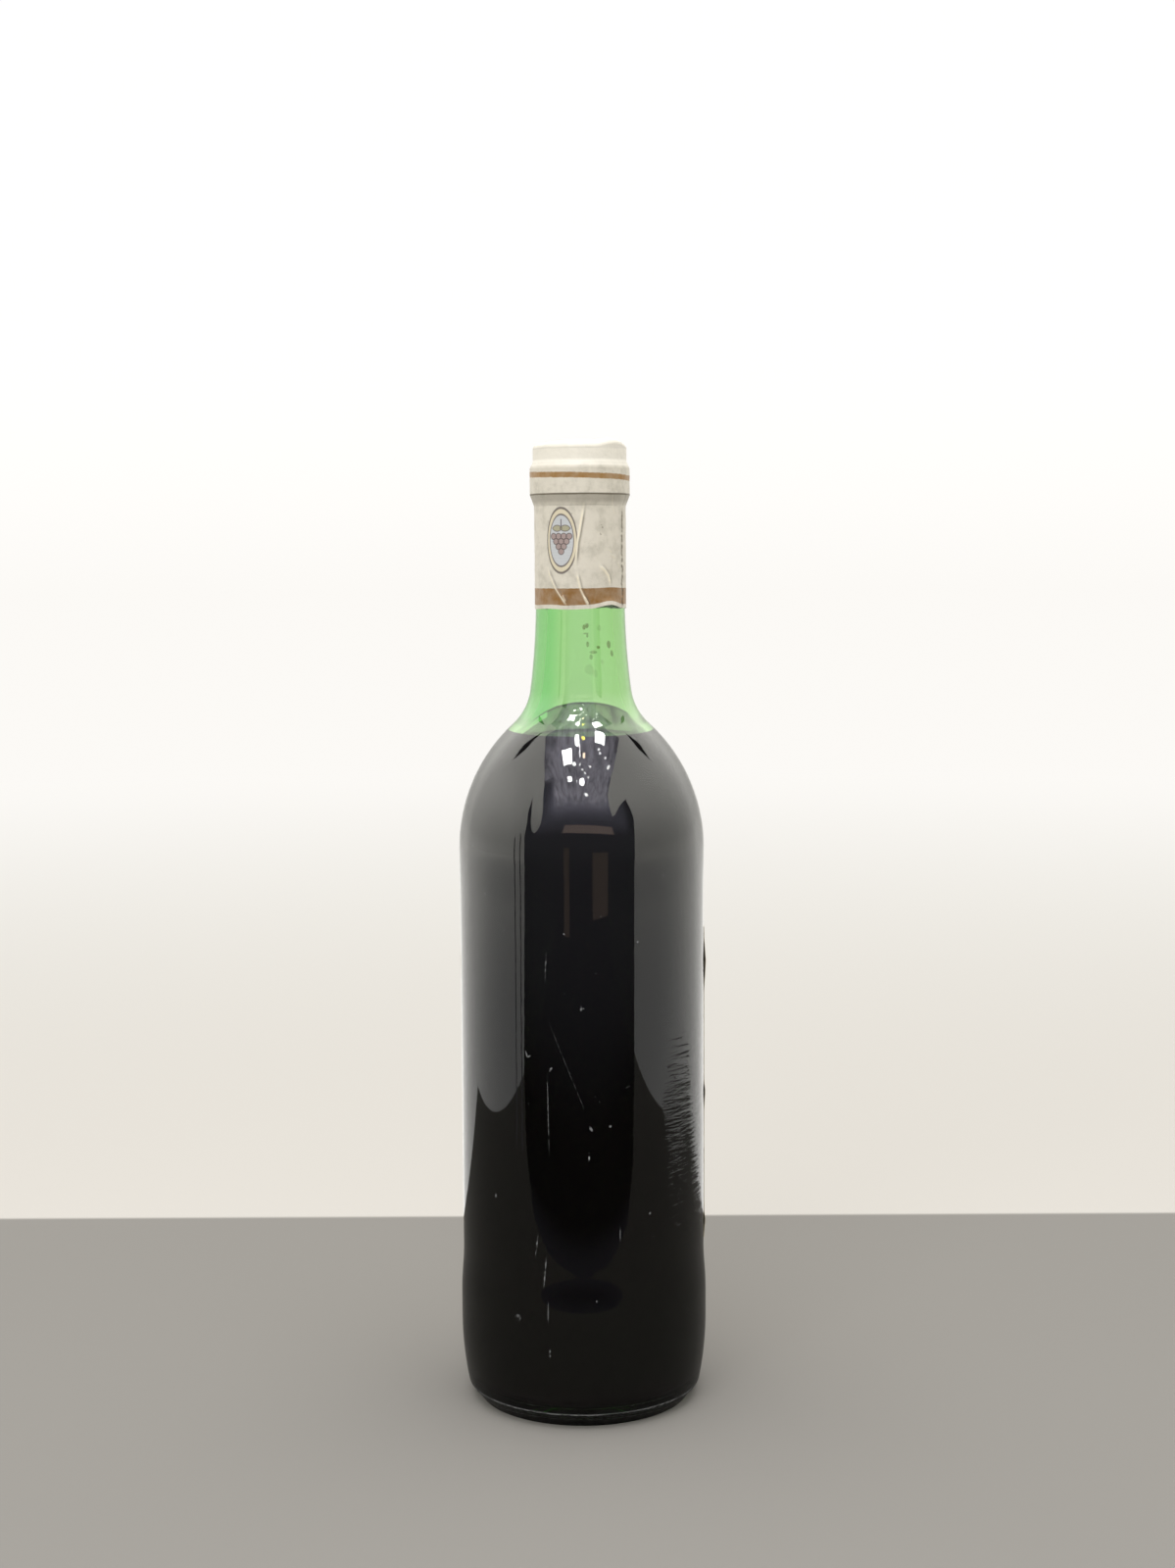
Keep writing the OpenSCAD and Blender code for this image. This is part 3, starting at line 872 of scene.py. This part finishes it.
# flat cards that only reflections see: (name, place in depth or height, outline, shade, glow)
walls = [
    ("darkRoom", roomDepth, roomEdge, shadow, 0),
    ("shelf", detailDepth, [(-0.043, 0.205), (0.078, 0.203), (0.072, 0.217), (-0.036, 0.219)], brown, 1.5),
    ("door", detailDepth, oblong(0.041, 0.154, 0.036, 0.036), brown, 0.5),
    ("jamb", detailDepth, oblong(-0.032, 0.155, 0.012, 0.05), brown, 0.45),
    ("foldA", detailDepth, oblong(-0.268, 0.11, 0.012, 0.19), violet, 0.3),
    ("foldB", detailDepth, oblong(-0.211, 0.12, 0.009, 0.19), violet, 0.3),
]
ceiling = [
    ("ceiling", roofHeight, roofEdge, violet, 0),
    ("slitLeft", roofHeight, [(-0.62, 0.25), (-0.98, 0.24), (-1.35, 0.42), (-0.98, 0.42)], violet, 0.1),
    ("slitRight", roofHeight, [(0.72, 0.35), (1.0, 0.29), (1.35, 0.44), (1.0, 0.48)], violet, 0.1),
    ("lampRight", lampHeight, oblong(0.285, -0.10, 0.15, 0.20), white, 40),
    ("lampLeft", lampHeight, oblong(-0.235, -0.44, 0.165, 0.26), white, 40),
    ("lampStrip", lampHeight, lens(-0.06, -0.20, 0.08, 0.2), white, 30),
    ("lampThread", lampHeight, oblong(-0.02, -0.36, 0.02, 0.2), white, 20),
    ("lampYellow", lampHeight, lens(0.037, -0.165, 0.05, 0.06), yellow, 30),
    ("lampSpark", lampHeight, lens(0.05, -0.44, 0.05, 0.10), warm, 25),
    ("lampCorner", lampHeight, lens(-0.125, -0.58, 0.08, 0.08), white, 25),
    ("lampSide", lampHeight, lens(0.51, -0.54, 0.05, 0.10), white, 18),
    ("lampFar", lampHeight, lens(0.02, -0.957, 0.11, 0.21), white, 40),
    ("lampFarLeft", lampHeight, oblong(-0.235, -0.86, 0.08, 0.12), white, 40),
    ("lampFarther", lampHeight, lens(0.132, -1.30, 0.11, 0.11), white, 25),
]
sparks = [(0.02, -0.68), (0.08, -0.76), (0.15, -0.84), (-0.10, -0.92), (0.31, -0.36), (0.42, -0.40),
          (0.28, -0.30), (0.16, -0.62), (-0.02, -0.60)]
ceiling += [(f"spark{i}", lampHeight, lens(x, y, 0.036, 0.05), white, 18) for i, (x, y) in enumerate(sparks)]


def roomGlow(w, where):            # faint light in the dark room, and how clear it is above its ragged top
    half, z = where.part(0).size(), where.part(2)
    level = (z.fade(0.05, 0.13) * 0.14 + z.fade(0.11, 0.20) * 0.12
             + z.fade(0.195, 0.235) * 0.45 * half.fade(0.15, 0.11)
             + z.fade(0.225, 0.27) * 1.4 * half.fade(0.11, 0.05) + z.fade(0.03, 0.012) * 0.1 + 0.02)
    ragged = noiseOf(w, where, 22, 3, 0.6) - 0.5
    top = 0.232 + half.fade(0.06, 0.11) * 0.10 + ragged * 0.05
    return level, (z - top).fade(0.0, 0.055)


def roofGlow(w, where):            # a cloudy roof that darkens away from the bottle
    half, y = where.part(0).size(), where.part(1)
    cloud = noiseOf(w, where, 5, 5, 0.7, stretch=(2.2, 0.6, 1)).fade(0.3, 0.65, 0.5, 1.25)
    return 3.1 * y.fade(-2.5, -1.5, 0.3, 1) * (half + y * 0.45).fade(0.75, 0.1, 0.45, 1) * cloud


def glowMaterial(name, shade, glow):
    made, w = newMaterial(name)
    where = w.node("ShaderNodeTexCoord", out=3)
    clear = w.node("ShaderNodeLightPath", out=6)   # what is seen through glass misses the card
    color = (*shade, 1)
    if name == "darkRoom":
        level, above = roomGlow(w, where)
        clear, color, glow = clear.most(above), level.brighten(shade), 1
    if name == "ceiling":
        color, glow = roofGlow(w, where).brighten(shade), 1
    lit = w.node("ShaderNodeEmission", {}, {"Color": color, "Strength": glow})
    gone = w.node("ShaderNodeBsdfTransparent")
    endMaterial(w, w.node("ShaderNodeMixShader", {}, {0: clear, 1: lit, 2: gone}))
    return made


def makeCard(name, place, edge, shade, glow, level):
    calm()
    bpy.ops.mesh.primitive_circle_add(vertices=len(edge), radius=1, fill_type="NGON")
    card = bpy.context.object
    card.name = name
    for vertex, (u, v) in zip(card.data.vertices, edge):
        vertex.co = (u, v, place) if level else (u, place, v)
    dress(card, glowMaterial(name, shade, glow))
    card.visible_camera = False
    card.visible_diffuse = False
    card.visible_transmission = False
    card.visible_shadow = False
    card.visible_volume_scatter = False


makeFloor()
makeWorld()
for card in walls:
    makeCard(*card, level=False)
for card in ceiling:
    makeCard(*card, level=True)
print("stage made", len(walls) + len(ceiling), "cards")

lamps = [
    {"name": "topLight", "at": (0.0, -0.1, 1.5), "size": 1.3, "watts": 8},
    {"name": "keyLight", "at": (-0.3, -1.2, 0.8), "size": 0.9, "watts": 5},
]
for lamp in lamps:
    bpy.ops.object.light_add(type="AREA", location=lamp["at"])
    light = bpy.context.object
    light.name = lamp["name"]
    light.data.size = lamp["size"]
    light.data.energy = lamp["watts"]
    light.rotation_euler = (Vector((0, 0, 0.15)) - light.location).to_track_quat("-Z", "Y").to_euler()
    light.visible_glossy = False
    light.visible_transmission = False

# the camera, in metres and degrees
view = {"distance": 0.690, "height": 0.258, "aside": 0.0019, "down": 5.6, "roll": -0.29, "lens": 52.0}
bpy.ops.object.camera_add(location=(view["aside"], -view["distance"], view["height"]))
camera = bpy.context.object
camera.data.lens = view["lens"]
camera.data.sensor_width = 36
camera.rotation_mode = "QUATERNION"
camera.rotation_quaternion = (Euler((math.radians(90 - view["down"]), 0, 0)).to_quaternion()
                              @ Quaternion((0, 0, 1), math.radians(view["roll"])))
bpy.context.scene.camera = camera
bpy.context.scene.view_settings.view_transform = "Standard"
print("camera set")
